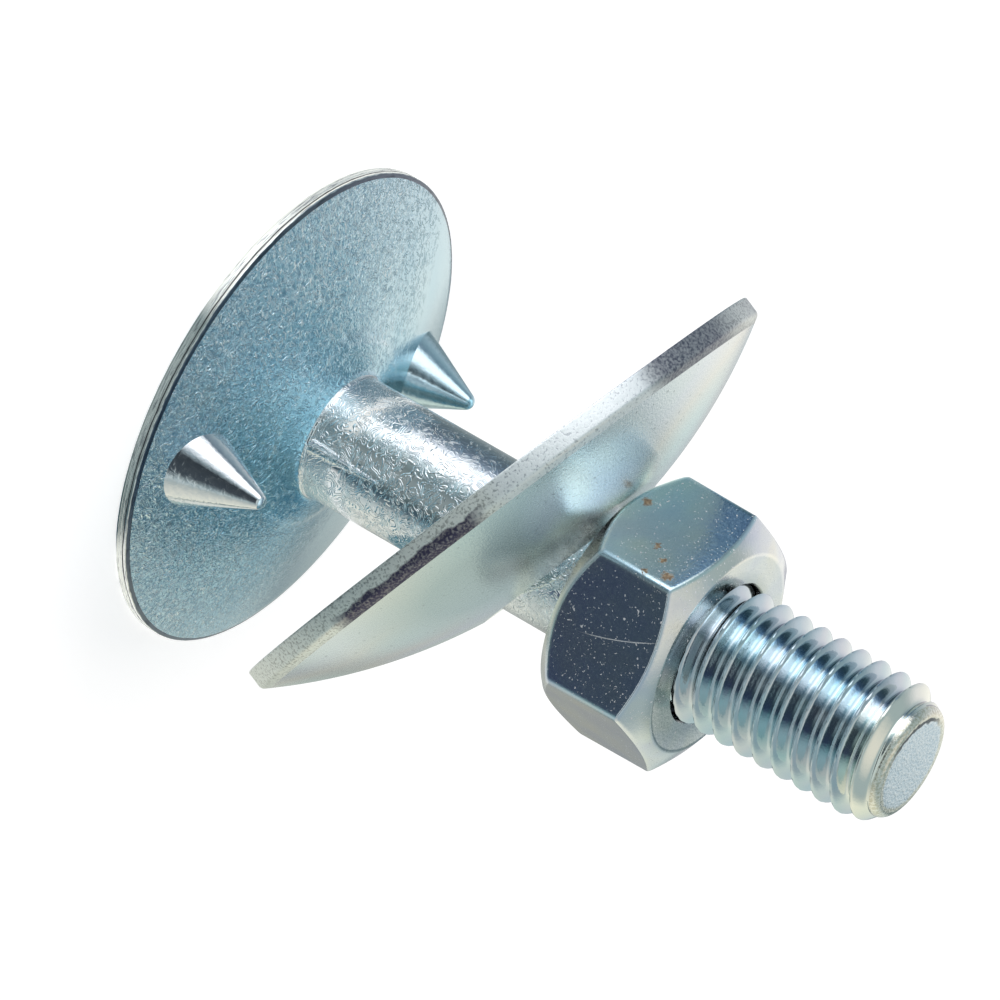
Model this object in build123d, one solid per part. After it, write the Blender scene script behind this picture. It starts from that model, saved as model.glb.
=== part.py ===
from build123d import *
import os
from math import asin, atan2, cos, hypot, pi, radians, sin, sqrt, tan

# A fanged belt bolt with its dished washer and hexagon nut, standing on its head.
# Millimetres and degrees; the origin is the middle of the head's flat outer face,
# +Z runs along the shank to the thread's end, and the two fangs stand on the X axis.

# Bolt
head_diameter = 28.0
rim_thickness = 0.75
rim_round = 0.12
underside_slope = 16.9
die_ring_diameter = 11.0
die_ring_step = 0.12
shank_foot_round = 0.5
shank_diameter = 7.2
plain_length = 22.2
thread_diameter = 8.0
thread_length = 19.2
end_chamfer = 1.2

# Fangs
fang_spacing = 19.4
fang_base_diameter = 4.3
fang_length = 4.0
fang_tip_round = 0.5

# Hexagon nut
nut_across_flats = 13.3
nut_height = 6.7
nut_draft = 0.7
nut_corner_round = 0.45
nut_face_share = 0.88
nut_chamfer_slope = 30.0
nut_seat_share = 0.96
nut_seat_chamfer_slope = 45.0
nut_bore_clearance = 0.05
nut_mouth_diameter = 8.5
nut_thread_gap = 0.15
nut_above_shank = 0.1
nut_corner_direction = 16.6
nut_cut_overrun = 0.5

# Dished washer, leaning with its high side against the nut
washer_diameter = 32.7
washer_thickness = 1.0
washer_dome_radius = 31.0
washer_lean = 31.9
washer_high_side_direction = 100.8
washer_shank_clearance = 0.25
washer_nut_clearance = 0.1

# Worked-out sizes
head_radius = head_diameter / 2
shank_radius = shank_diameter / 2
thread_radius = thread_diameter / 2
die_ring_radius = die_ring_diameter / 2
fang_place = fang_spacing / 2
fang_base_radius = fang_base_diameter / 2
bolt_length = plain_length + thread_length
underside_rise = tan(radians(underside_slope))
nut_bottom = plain_length + nut_above_shank
nut_top = nut_bottom + nut_height
# The shank is rolled at the thread's pitch diameter, where the nut's thread and the bolt's meet.
# Inside the nut both are drawn at that diameter, and the crests stand free beyond its face.
free_thread_start = nut_top + nut_thread_gap
nut_face_radius = nut_face_share * nut_across_flats / 2
nut_seat_radius = nut_seat_share * nut_across_flats / 2
nut_bore_radius = shank_radius + nut_bore_clearance
nut_mouth_radius = nut_mouth_diameter / 2
washer_radius = washer_diameter / 2
lean_sine = sin(radians(washer_lean))
lean_cosine = cos(radians(washer_lean))
# A leaning washer needs a wider hole: its wall takes up part of the way through
washer_hole_radius = (shank_radius + washer_shank_clearance
                      + washer_thickness / 2 * lean_sine) / lean_cosine


def underside_height(radius):
    """Height of the head's conical underside at a distance from the axis."""
    return rim_thickness + (head_radius - radius) * underside_rise


def turned(outline):
    """Solid of revolution from a closed outline drawn as (radius, height) in the XZ plane."""
    return revolve(Plane.XZ * make_face(outline), Axis.Z)


def shaft_and_head():
    """Head, shank and thread as one turned blank."""
    ring_foot = underside_height(die_ring_radius)
    shank_foot = underside_height(shank_radius) + die_ring_step
    outline = Polyline(
        (0, 0),
        (head_radius, 0),
        (head_radius, rim_thickness),
        (die_ring_radius, ring_foot),
        (die_ring_radius, ring_foot + die_ring_step),
        (shank_radius, shank_foot),
        (shank_radius, free_thread_start),
        (thread_radius, free_thread_start),
        (thread_radius, bolt_length - end_chamfer),
        (thread_radius - end_chamfer, bolt_length),
        (0, bolt_length),
        close=True,
    )
    blank = turned(outline)
    rim_edges = blank.edges().filter_by(GeomType.CIRCLE).sort_by(SortBy.RADIUS)[-2:]
    blank = fillet(rim_edges, rim_round)
    foot_edge = min(
        blank.edges().filter_by(GeomType.CIRCLE),
        key=lambda edge: hypot(edge.radius - shank_radius, edge.center().Z - shank_foot),
    )
    return fillet(foot_edge, shank_foot_round)


def fang(side):
    """Round-tipped cone on the head's underside, rooted as deep as the rim's front edge."""
    base = underside_height(fang_place)
    tip = base + fang_length
    tip_centre = tip - fang_tip_round
    rise = tip_centre - base
    half_angle = atan2(fang_base_radius, rise) - asin(fang_tip_round / hypot(fang_base_radius, rise))
    root_radius = fang_base_radius + (base - rim_thickness) * tan(half_angle)
    touch = (fang_tip_round * cos(half_angle), tip_centre + fang_tip_round * sin(half_angle))
    tip_turn = (pi / 2 + half_angle) / 2
    tip_middle = (fang_tip_round * cos(tip_turn), tip_centre + fang_tip_round * sin(tip_turn))
    outline = [
        Polyline((0, tip), (0, rim_thickness), (root_radius, rim_thickness), touch),
        ThreePointArc(touch, tip_middle, (0, tip)),
    ]
    return Pos(side * fang_place, 0, 0) * turned(outline)


def fanged_bolt():
    """The bolt: turned blank and two fangs, forged as one piece."""
    return shaft_and_head() + [fang(side) for side in (-1, 1)]


def hex_nut():
    """Hexagon nut with drafted flats, worn corners and both ends chamfered, at the foot of the thread."""
    hexagon = RegularPolygon(nut_across_flats / 2, 6, major_radius=False)
    prism = extrude(hexagon, nut_height, taper=nut_draft)
    corners = [edge for edge in prism.edges() if edge.bounding_box().size.Z > nut_height / 2]
    prism = fillet(corners, nut_corner_round)
    reach = nut_across_flats / sqrt(3) + nut_cut_overrun
    rise = (reach - nut_seat_radius) * tan(radians(nut_seat_chamfer_slope))
    drop = (reach - nut_face_radius) * tan(radians(nut_chamfer_slope))
    ends = turned(Polyline(
        (0, 0),
        (nut_seat_radius, 0),
        (reach, rise),
        (reach, nut_height - drop),
        (nut_face_radius, nut_height),
        (0, nut_height),
        close=True,
    ))
    countersink = nut_mouth_radius - nut_bore_radius
    bore = turned(Polyline(
        (0, 0),
        (nut_mouth_radius, 0),
        (nut_bore_radius, countersink),
        (nut_bore_radius, nut_height - countersink),
        (nut_mouth_radius, nut_height),
        (0, nut_height),
        close=True,
    ))
    return Pos(0, 0, nut_bottom) * Rot(0, 0, nut_corner_direction) * ((prism & ends) - bore)


def dished_washer():
    """Spherical dish of even wall, hung on the shank with its high side against the nut's seat edge."""
    inner_sphere = washer_dome_radius - washer_thickness
    # The dish is drawn about the middle of its hole, with the sphere's centre below it
    sphere_depth = (sqrt(washer_dome_radius ** 2 - washer_hole_radius ** 2)
                    + sqrt(inner_sphere ** 2 - washer_hole_radius ** 2)) / 2

    def dish_point(radius, sphere):
        return (radius, sqrt(sphere ** 2 - radius ** 2) - sphere_depth)

    radii = (washer_hole_radius, (washer_hole_radius + washer_radius) / 2, washer_radius)
    outer_hole, outer_middle, outer_rim = (dish_point(radius, washer_dome_radius) for radius in radii)
    inner_hole, inner_middle, inner_rim = (dish_point(radius, inner_sphere) for radius in radii)
    dish = turned([
        ThreePointArc(outer_hole, outer_middle, outer_rim),
        Line(outer_rim, inner_rim),
        ThreePointArc(inner_rim, inner_middle, inner_hole),
        Line(inner_hole, outer_hole),
    ])
    # On the high side the dome's sphere just clears the edge of the nut's seat
    across = sphere_depth * lean_sine - nut_seat_radius
    reach = washer_dome_radius + washer_nut_clearance
    hole_height = nut_bottom + sphere_depth * lean_cosine - sqrt(reach ** 2 - across ** 2)
    return Pos(0, 0, hole_height) * Rot(0, 0, washer_high_side_direction) * Rot(0, -washer_lean, 0) * dish


pieces = {
    "fanged_bolt": fanged_bolt(),
    "dished_washer": dished_washer(),
    "hex_nut": hex_nut(),
}
os.makedirs("parts", exist_ok=True)
for name, piece in pieces.items():
    export_step(piece, f"parts/{name}.step")
    box = piece.bounding_box()
    print(name, "solids", len(piece.solids()), "volume", round(piece.volume, 2),
          "size", [round(length, 2) for length in box.size], "from", round(box.min.Z, 2), "to", round(box.max.Z, 2))
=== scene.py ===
# %% [markdown]
# # A fanged belt bolt with its dished washer and nut
# A belt bolt holds a bucket to an elevator belt. Its thin round head lies flat on one side of the belt,
# two fangs bite into the belt so that the head cannot turn, and a dished washer and a nut clamp the other
# side. All three pieces are steel with a bright blue-white zinc plating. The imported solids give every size
# and place. This script gives each piece its real edges, its thread and its plated finish, piece by piece.

# %% Load the frame
from math import asin, cos, degrees, exp, hypot, pi, radians, sin, sqrt, tan

import bpy
import numpy as np
from mathutils import Matrix, Vector


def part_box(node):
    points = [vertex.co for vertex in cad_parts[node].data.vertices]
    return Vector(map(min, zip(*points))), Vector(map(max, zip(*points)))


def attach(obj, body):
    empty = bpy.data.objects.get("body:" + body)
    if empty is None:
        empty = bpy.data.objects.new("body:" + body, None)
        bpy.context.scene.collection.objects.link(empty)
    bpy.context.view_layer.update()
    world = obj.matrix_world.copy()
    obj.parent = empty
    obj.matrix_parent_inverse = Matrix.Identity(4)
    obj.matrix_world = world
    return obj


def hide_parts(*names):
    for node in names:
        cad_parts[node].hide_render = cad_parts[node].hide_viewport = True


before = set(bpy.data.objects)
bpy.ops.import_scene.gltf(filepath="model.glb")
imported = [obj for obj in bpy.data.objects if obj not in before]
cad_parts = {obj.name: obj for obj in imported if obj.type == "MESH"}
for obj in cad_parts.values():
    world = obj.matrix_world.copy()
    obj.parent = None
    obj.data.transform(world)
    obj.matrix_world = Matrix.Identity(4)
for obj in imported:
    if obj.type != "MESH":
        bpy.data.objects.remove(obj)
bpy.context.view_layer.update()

mm = 0.001
scene = bpy.context.scene

# %% [markdown]
# ## The camera
# The bolt stands on its head here, but the photograph shows it lying across the picture, from the head at
# the upper left to the thread at the lower right. A camera can be tilted about its own line of sight, so
# the same view is had by rolling the camera until the bolt's axis runs down to the right. The long lens and
# the distance come from how little the far end of the bolt grows towards the viewer.

# %% Camera
photo_size = 1000
photo_middle = photo_size / 2
pixels_per_metre = 18713.0
camera_distance = 429.9 * mm
camera_azimuth = radians(148.8)
camera_elevation = radians(23.97)
axis_slope_in_photo = radians(29.84)
head_middle_in_photo = (281.4, 402.6)
sensor_width = 36.0

towards_camera = Vector((
    cos(camera_elevation) * cos(camera_azimuth),
    cos(camera_elevation) * sin(camera_azimuth),
    sin(camera_elevation),
))
level_right = Vector((0, 0, 1)).cross(towards_camera).normalized()
level_up = towards_camera.cross(level_right)
camera_roll = pi / 2 + axis_slope_in_photo
picture_right = level_right * cos(camera_roll) + level_up * sin(camera_roll)
picture_up = level_up * cos(camera_roll) - level_right * sin(camera_roll)
steps_right, steps_down = ((place - photo_middle) / pixels_per_metre for place in head_middle_in_photo)

camera_data = bpy.data.cameras.new("camera")
camera_data.sensor_width = sensor_width
camera_data.lens = pixels_per_metre * camera_distance / photo_size * sensor_width
camera_data.clip_start = camera_distance / photo_size
camera = bpy.data.objects.new("camera", camera_data)
scene.collection.objects.link(camera)
camera_place = towards_camera * camera_distance - picture_right * steps_right + picture_up * steps_down
camera.matrix_world = Matrix.Translation(camera_place) @ Matrix(
    (picture_right, picture_up, towards_camera)).transposed().to_4x4()
scene.camera = camera
camera_millimetres = [round(place / mm) for place in camera_place]
print("lens", round(camera_data.lens, 1), "mm, camera at", camera_millimetres, "mm")

# %% [markdown]
# ## Turned pieces
# A bolt, a washer and a nut are all made round an axis, so one helper can build all three. It takes rings
# of points, from the bottom outwards, up the outside and back in at the top, and covers them with
# four-sided faces. The radius may change with the direction as well, which is how the helper also makes a
# thread or six flats. Faces laid in rings this way give smooth, even reflections, which bare metal needs.

# %% Mesh helper
sharp_edge = radians(38)


def turned_mesh(name, radii, heights, directions, closed, finishes=(), finish_rows=None):
    """Covers rings of points with faces. On a piece with a hole, closed joins the last ring to the first."""
    rows = len(heights)
    columns = len(directions)
    radii = np.broadcast_to(radii, (rows, columns))
    upright = np.broadcast_to(np.reshape(heights, (rows, 1)), (rows, columns))
    points = np.stack([radii * np.cos(directions), radii * np.sin(directions), upright], axis=-1)
    index = np.arange(rows * columns).reshape(rows, columns)
    lower = index if closed else index[:-1]
    upper = np.roll(index, -1, axis=0) if closed else index[1:]
    quads = np.stack([lower, np.roll(lower, -1, axis=1), np.roll(upper, -1, axis=1), upper], axis=-1)
    faces = quads.reshape(-1, 4).tolist()
    if not closed:
        faces += [index[0][::-1].tolist(), index[-1].tolist()]
    mesh = bpy.data.meshes.new(name)
    mesh.from_pydata(points.reshape(-1, 3).tolist(), [], faces)
    for finish in finishes:
        mesh.materials.append(finish)
    if finish_rows is not None:
        finish = np.repeat(finish_rows, columns)[:len(quads.reshape(-1, 4))]
        finish = np.append(finish, [] if closed else [finish_rows[0], finish_rows[-1]])
        mesh.polygons.foreach_set("material_index", finish.astype(np.int32))
    smooth_shading(mesh)
    piece = bpy.data.objects.new(name, mesh)
    scene.collection.objects.link(piece)
    return piece


def smooth_shading(mesh):
    """Shades the faces smoothly but keeps the edges that are sharp on the metal."""
    mesh.shade_smooth()
    mesh.set_sharp_from_angle(angle=sharp_edge)
    mesh.update()


def evenly(count):
    """Directions round the axis, evenly spaced."""
    return np.arange(count) * (2 * pi / count)


def arc(centre, radius, start, end, steps):
    """Points of an arc in a profile, as (radius, height), with angles in degrees."""
    angles = np.radians(np.linspace(start, end, steps))
    return [(centre[0] + radius * cos(angle), centre[1] + radius * sin(angle)) for angle in angles]


def line(start, end, steps):
    """Points of a straight stretch of a profile, both ends among them."""
    return [tuple(point) for point in np.linspace(start, end, steps)]


def soft_min(one, other, width):
    """The smaller of two surfaces, with the edge between them rounded over a width."""
    share = np.clip(0.5 + 0.5 * (other - one) / width, 0, 1)
    return other + (one - other) * share - width * share * (1 - share)


def soft_max(one, other, width):
    """The larger of two surfaces, with the corner between them rounded over a width."""
    return -soft_min(-one, -other, width)


# %% [markdown]
# ## The bolt's head and shank
# The bolt is cold-forged from wire: the head is upset into a thin plate with a conical back, and a die
# leaves a faint ring round the shank. The rim shows fine lines where the metal was squeezed out between
# the dies. These lines could be a bump, but they make the rim's outline, so they are cut into the profile
# as shallow grooves.

# %% Head and shank profile
bolt_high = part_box("fanged_bolt")[1]
head_radius = bolt_high.x
bolt_length = bolt_high.z
face_middle_radius = 0.7 * mm
rim_height = 0.75 * mm
rim_round = 0.12 * mm
# Fine lines round the rim: how high each one lies and how deep it is cut
rim_line_shares = (0.14, 0.30, 0.46, 0.60, 0.79)
rim_line_depths = (0.018 * mm, 0.012 * mm, 0.020 * mm, 0.014 * mm, 0.060 * mm)
rim_line_width_share = 0.035
rim_steps = 61
back_slope = radians(16.9)
die_ring_radius = 5.5 * mm
die_ring_step = 0.09 * mm
die_ring_width = 0.35 * mm
foot_round = 0.5 * mm
shank_radius = 3.6 * mm
thread_start = 22.2 * mm


def back_height(radius):
    """Height of the head's conical back at a distance from the axis, without the die ring."""
    return rim_height + (head_radius - radius) * tan(back_slope)


def rim_profile():
    """The rim from its lower round to its upper one, with the fine lines between."""
    low = rim_round
    high = rim_height - rim_round
    points = arc((head_radius - rim_round, low), rim_round, -90, 0, 5)
    for share in np.linspace(0, 1, rim_steps)[1:-1]:
        cut = sum(depth * exp(-((share - place) / rim_line_width_share) ** 2)
                  for place, depth in zip(rim_line_shares, rim_line_depths))
        points.append((head_radius - cut, low + (high - low) * share))
    return points + arc((head_radius - rim_round, high), rim_round, 0, 90 - degrees(back_slope), 5)


def foot_profile():
    """The rounded corner where the shank rises from the head."""
    middle_radius = shank_radius + foot_round
    middle_height = back_height(middle_radius) + die_ring_step + foot_round / cos(back_slope)
    return arc((middle_radius, middle_height), foot_round, 270 - degrees(back_slope), 180, 9)


die_ring_outside = die_ring_radius + die_ring_width
rim_inside = head_radius - 2 * rim_round
foot = foot_profile()
head_profile = (
    line((face_middle_radius, 0), (rim_inside, 0), 8)
    + rim_profile()
    + line((rim_inside, back_height(rim_inside)), (die_ring_outside, back_height(die_ring_outside)), 24)
    + line((die_ring_radius, back_height(die_ring_radius) + die_ring_step), foot[0], 5)[:-1]
    + foot
)
shank_profile = line(foot[-1], (shank_radius, thread_start), 30)[1:]
print("head", round(2 * head_radius / mm, 2), "mm across, bolt", round(bolt_length / mm, 2), "mm long")

# %% [markdown]
# ## The rolled thread
# A rolled thread is pressed into the blank between two dies, so its crests are rounded and its roots are
# broad. It could be modelled as a profile swept along a helix, but the ends of such a sweep are hard to
# close. Here each ring of points has its own radius in each direction: the distance to the nearest crest of
# the helix gives the radius, and the same rule fades the thread out at the shank and under the chamfer.

# %% Thread
thread_pitch = 1.25 * mm
crest_radius = 4.0 * mm
root_radius = 3.20 * mm
flank_middle_radius = 3.54 * mm
crest_height_ahead = 30.9 * mm
flank_slope = tan(radians(60))
crest_round = 0.22 * mm
root_round = 0.20 * mm
fade_length = 1.3 * mm
end_radius = 2.75 * mm
end_round = 0.50 * mm
chamfer_round = 0.25 * mm
rows_per_turn = 22
bolt_columns = 132


def thread_radius(direction, height):
    """Radius of the rolled thread in each direction at a height."""
    turns = (height - crest_height_ahead) / thread_pitch - direction / (2 * pi)
    from_crest = np.abs((turns + 0.5) % 1 - 0.5) * thread_pitch
    flank = flank_middle_radius + flank_slope * (thread_pitch / 4 - from_crest)
    ridge = soft_max(soft_min(flank, crest_radius, crest_round), root_radius, root_round)
    grown = np.clip((height - thread_start) / fade_length, 0, 1)
    chamfer = end_radius + (bolt_length - height)
    return soft_min(shank_radius + (ridge - shank_radius) * grown, chamfer, chamfer_round)


bolt_directions = evenly(bolt_columns)
thread_top = bolt_length - end_round
thread_rows = round((thread_top - thread_start) / thread_pitch * rows_per_turn)
thread_heights = np.linspace(thread_start, thread_top, thread_rows)[1:]
thread_radii = np.array([thread_radius(bolt_directions, height) for height in thread_heights])
# The chamfer rolls over into the flat end of the bolt
roll_over = np.radians(np.linspace(10, 90, 8))
end_heights = thread_top + end_round * np.sin(roll_over)
end_radii = thread_radii[-1] - end_round * (1 - np.cos(roll_over))[:, None]
end_face_shares = np.array([0.8, 0.4])
end_face_radii = end_radii[-1] * end_face_shares[:, None]
print("thread rings", len(thread_heights), "turns", round((thread_top - thread_start) / thread_pitch, 1))

# %% [markdown]
# ## The bolt as one mesh
# Head, shank, thread and end are one piece of steel, so they are one mesh with one finish per stretch.
# The two fangs are round-tipped cones raised by the die. They are turned by the same helper and then joined
# to the head with a union, so that no hidden faces stay inside.

# %% Fangs and bolt
fang_place = 9.7 * mm
fang_base_radius = 2.15 * mm
fang_length = 4.0 * mm
fang_tip_round = 0.5 * mm
fang_columns = 64
bolt_finish_names = ("head_zinc", "shank_zinc", "thread_zinc", "end_zinc", "fang_zinc", "rim_zinc")
bolt_finishes = [bpy.data.materials.new(name) for name in bolt_finish_names]
head_slot, shank_slot, thread_slot, end_slot, fang_slot, rim_slot = range(len(bolt_finishes))


def fang_mesh(name, side):
    """One fang, with its root inside the head."""
    base = back_height(fang_place)
    tip_middle = base + fang_length - fang_tip_round
    rise = tip_middle - base
    tip_share = fang_tip_round / hypot(fang_base_radius, rise)
    half_angle = np.arctan2(fang_base_radius, rise) - np.arcsin(tip_share)
    root_height = rim_height / 2
    root_radius = fang_base_radius + (base - root_height) * tan(half_angle)
    tip = arc((0, tip_middle), fang_tip_round, np.degrees(half_angle), 86, 10)
    profile = np.array(line((root_radius, root_height), tip[0], 20)[:-1] + tip)
    fang = turned_mesh(name, profile[:, :1], profile[:, 1], evenly(fang_columns), False,
                       bolt_finishes, np.full(len(profile), fang_slot))
    fang.data.transform(Matrix.Translation((side * fang_place, 0, 0)))
    return fang


plain_profile = np.array(head_profile + shank_profile)
plain_radii = np.broadcast_to(plain_profile[:, :1], (len(plain_profile), bolt_columns))
bolt_radii = np.vstack([plain_radii, thread_radii, end_radii, end_face_radii])
bolt_heights = np.concatenate([
    plain_profile[:, 1], thread_heights, end_heights, np.full(len(end_face_radii), bolt_length)])
head_rows = np.full(len(head_profile), head_slot)
head_rows[np.array(head_profile)[:, 0] > head_radius - rim_round] = rim_slot
head_rows[-len(foot) // 2:] = shank_slot
finish_rows = np.concatenate([
    head_rows, np.full(len(shank_profile), shank_slot),
    np.full(len(thread_heights), thread_slot),
    np.full(len(end_heights) + len(end_face_radii), end_slot)])
bolt = turned_mesh("fanged_belt_bolt", bolt_radii, bolt_heights, bolt_directions, False,
                   bolt_finishes, finish_rows)

for side in (-1, 1):
    fang = fang_mesh("fang", side)
    union = bolt.modifiers.new("fang_union", "BOOLEAN")
    union.operation = "UNION"
    union.solver = "MANIFOLD"
    union.object = fang
    bpy.context.view_layer.update()
    joined = bpy.data.meshes.new_from_object(bolt.evaluated_get(bpy.context.evaluated_depsgraph_get()))
    bolt.modifiers.clear()
    bolt.data = joined
    bpy.data.objects.remove(fang)
smooth_shading(bolt.data)
used_slots = sorted({face.material_index for face in bolt.data.polygons})
print("bolt faces", len(bolt.data.polygons), "finishes", [bolt_finish_names[slot] for slot in used_slots])

# %% [markdown]
# ## The dished washer
# The washer is stamped from sheet: punched out, which leaves a sheared rim with a rounded edge on one side
# and a sharp one on the other, and pressed into a shallow dish. It is turned flat on its own axis first,
# and then leaned over to where the solid hangs on the shank, with its high side against the nut.

# %% Washer
washer_radius = 16.35 * mm
washer_thickness = 1.0 * mm
dome_radius = 31.0 * mm
washer_lean = radians(31.9)
washer_high_side = radians(100.8)
hole_clearance = 0.25 * mm
hole_height = 18.26 * mm
rim_roll = 0.35 * mm
hollow_roll = 0.10 * mm
rim_burr = 0.08 * mm
washer_columns = 256
washer_rows = 34

hole_radius = (shank_radius + hole_clearance + washer_thickness / 2 * sin(washer_lean)) / cos(washer_lean)
inner_dome_radius = dome_radius - washer_thickness
sphere_radii = (dome_radius, inner_dome_radius)
dome_depth = sum(sqrt(sphere ** 2 - hole_radius ** 2) for sphere in sphere_radii) / len(sphere_radii)


def dish(radius, sphere):
    """A point of the dish's inner or outer sphere, as (radius, height)."""
    return (radius, sqrt(sphere ** 2 - radius ** 2) - dome_depth)


# Both edges of the rim are rounded: each arc touches the upright rim and one of the two spheres
inner_slope = asin(washer_radius / inner_dome_radius)
outer_slope = asin(washer_radius / dome_radius)
roll_middle = washer_radius - rim_roll
hollow_roll_middle = washer_radius - hollow_roll
inner_rim = dish(washer_radius, inner_dome_radius)[1]
outer_rim = dish(washer_radius, dome_radius)[1]
inner_roll = (hollow_roll_middle, inner_rim + hollow_roll * (tan(inner_slope) + 1 / cos(inner_slope)))
outer_roll = (roll_middle, outer_rim + rim_roll * (tan(outer_slope) - 1 / cos(outer_slope)))
inner_radii = np.linspace(
    hole_radius + rim_burr, hollow_roll_middle - hollow_roll * sin(inner_slope), washer_rows)
outer_radii = np.linspace(roll_middle + rim_roll * sin(outer_slope), hole_radius + rim_burr, washer_rows)
inner_face = [dish(radius, inner_dome_radius) for radius in inner_radii[:-1]]
rim_face = (arc(inner_roll, hollow_roll, -90 - degrees(inner_slope), 0, 10)
            + arc(outer_roll, rim_roll, 0, 90 - degrees(outer_slope), 7))
outer_face = [dish(radius, dome_radius) for radius in outer_radii[1:]]
hole_face = line((hole_radius, dish(hole_radius, dome_radius)[1] - rim_burr),
                 (hole_radius, dish(hole_radius, inner_dome_radius)[1] + rim_burr), 4)
washer_profile = np.array(inner_face + rim_face + outer_face + hole_face)
washer_finishes = [bpy.data.materials.new(name) for name in ("dish_zinc", "sheared_zinc", "shaded_hollow_zinc")]
dish_slot, sheared_slot, hollow_slot = range(len(washer_finishes))
washer_finish_rows = np.full(len(washer_profile), dish_slot)
washer_finish_rows[:len(inner_face)] = hollow_slot
washer_finish_rows[len(inner_face):len(inner_face) + len(rim_face)] = sheared_slot
washer = turned_mesh("dished_belt_washer", washer_profile[:, :1], washer_profile[:, 1],
                     evenly(washer_columns), True, washer_finishes, washer_finish_rows)
washer.data.transform(
    Matrix.Translation((0, 0, hole_height)) @ Matrix.Rotation(washer_high_side, 4, "Z")
    @ Matrix.Rotation(-washer_lean, 4, "Y"))
print("washer faces", len(washer.data.polygons))

# %% [markdown]
# ## The hexagon nut
# A nut is hot- or cold-forged, and both ends are chamfered so that the corners do not cut a hand or a seat.
# The chamfer is a cone, and where it meets a flat it leaves the curved line that makes a nut look like a
# nut. Cutting a prism with a cone would give that line, but as a knife-sharp one. Here the radius is the
# smaller of the flat's distance and the cone's, blended over a small width, which rounds every edge.

# %% Nut
nut_low, nut_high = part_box("hex_nut")
nut_bottom = nut_low.z
nut_height = nut_high.z - nut_low.z
flat_distance = 6.65 * mm
flat_draft = tan(radians(0.7))
face_radius = 5.85 * mm
face_slope = tan(radians(30))
seat_radius = 6.38 * mm
corner_direction = radians(16.6)
bore_radius = 4.03 * mm
mouth_radius = 4.13 * mm
corner_round = 0.28 * mm
nut_edge_round = 0.22 * mm
columns_per_flat = 44
chamfer_zone = 1.7 * mm


def nut_directions():
    """Directions round the nut, closer together near the corners."""
    shares = np.linspace(-1, 1, columns_per_flat + 1)[:-1]
    within = radians(30) * np.sin(shares * pi / 2)
    middles = corner_direction + radians(30) + np.arange(6) * radians(60)
    return (middles[:, None] + within).ravel(), np.tile(within, 6)


directions, from_middle = nut_directions()
heights = np.concatenate([
    np.linspace(0, chamfer_zone, 36),
    np.linspace(chamfer_zone, nut_height - chamfer_zone, 8)[1:-1],
    np.linspace(nut_height - chamfer_zone, nut_height, 46),
])
rise = heights[:, None]
flats = (flat_distance - flat_draft * rise) / np.cos(from_middle)
neighbour = (flat_distance - flat_draft * rise) / np.cos(radians(60) - np.abs(from_middle))
hexagon = soft_min(flats, neighbour, corner_round)
seat_cone = seat_radius + rise
face_cone = face_radius + (nut_height - rise) / face_slope
outside = soft_min(soft_min(hexagon, seat_cone, nut_edge_round), face_cone, nut_edge_round)
mouth_depth = mouth_radius - bore_radius
seat_inner = line((mouth_radius, 0), (seat_radius - nut_edge_round, 0), 4)
face_inner = line((face_radius - nut_edge_round, nut_height), (mouth_radius, nut_height), 5)
bore = line((bore_radius, nut_height - mouth_depth), (bore_radius, mouth_depth), 6)
inner_rows = [np.array(part) for part in (seat_inner, face_inner + bore)]
nut_radii = np.vstack([
    np.broadcast_to(inner_rows[0][:, :1], (len(inner_rows[0]), len(directions))),
    outside,
    np.broadcast_to(inner_rows[1][:, :1], (len(inner_rows[1]), len(directions))),
])
nut_heights = np.concatenate([inner_rows[0][:, 1], heights, inner_rows[1][:, 1]])
nut_finish = bpy.data.materials.new("flecked_zinc")
nut = turned_mesh("hexagon_nut", nut_radii, nut_heights, directions, True, [nut_finish])
nut.data.transform(Matrix.Translation((0, 0, nut_bottom)))
print("nut faces", len(nut.data.polygons))

# %% [markdown]
# ## Plated finishes
# Zinc plating is a thin bright metal skin. Its colour comes from what it mirrors, so each finish is a
# metallic shader with a slightly blue reflection, a roughness for how satin it is, and a fine relief. The
# relief is what tells the pieces apart: orange peel on the head, wrinkles on the shank, flecks on the nut.
# All patterns are noises measured in millimetres on the piece itself.

# %% Shader helpers
# Noises keep mostly between these two values
noise_low, noise_high = 0.3, 0.7


def add(tree, kind, inputs, **settings):
    """Adds one shader node. An input is a plain value or the output of another node."""
    node = tree.nodes.new(kind)
    for name, value in settings.items():
        setattr(node, name, value)
    for name, value in inputs.items():
        if isinstance(value, bpy.types.NodeSocket):
            tree.links.new(value, node.inputs[name])
        else:
            node.inputs[name].default_value = value
    return node


def math(tree, operation, first, second=0.0):
    """One step of arithmetic on patterns or plain numbers."""
    return add(tree, "ShaderNodeMath", {0: first, 1: second}, operation=operation).outputs[0]


def vector_math(tree, operation, first, second, output="Vector"):
    """One step of arithmetic on places."""
    return add(tree, "ShaderNodeVectorMath", {0: first, 1: second}, operation=operation).outputs[output]


def mix(tree, share, one, other, blend="MIX"):
    """One colour where the share is 0, and the other, or their product, where it is 1."""
    inputs = {0: share, 6: one, 7: other}
    return add(tree, "ShaderNodeMix", inputs, data_type="RGBA", blend_type=blend).outputs[2]


def noise(tree, size, detail=2.0, distortion=0.0, place=None):
    """A cloudy pattern whose blotches are about that size, in metres on the piece."""
    place = place or add(tree, "ShaderNodeTexCoord", {}).outputs["Object"]
    inputs = {"Vector": place, "Scale": 1 / size, "Detail": detail, "Distortion": distortion}
    return add(tree, "ShaderNodeTexNoise", inputs).outputs["Fac"]


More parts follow.
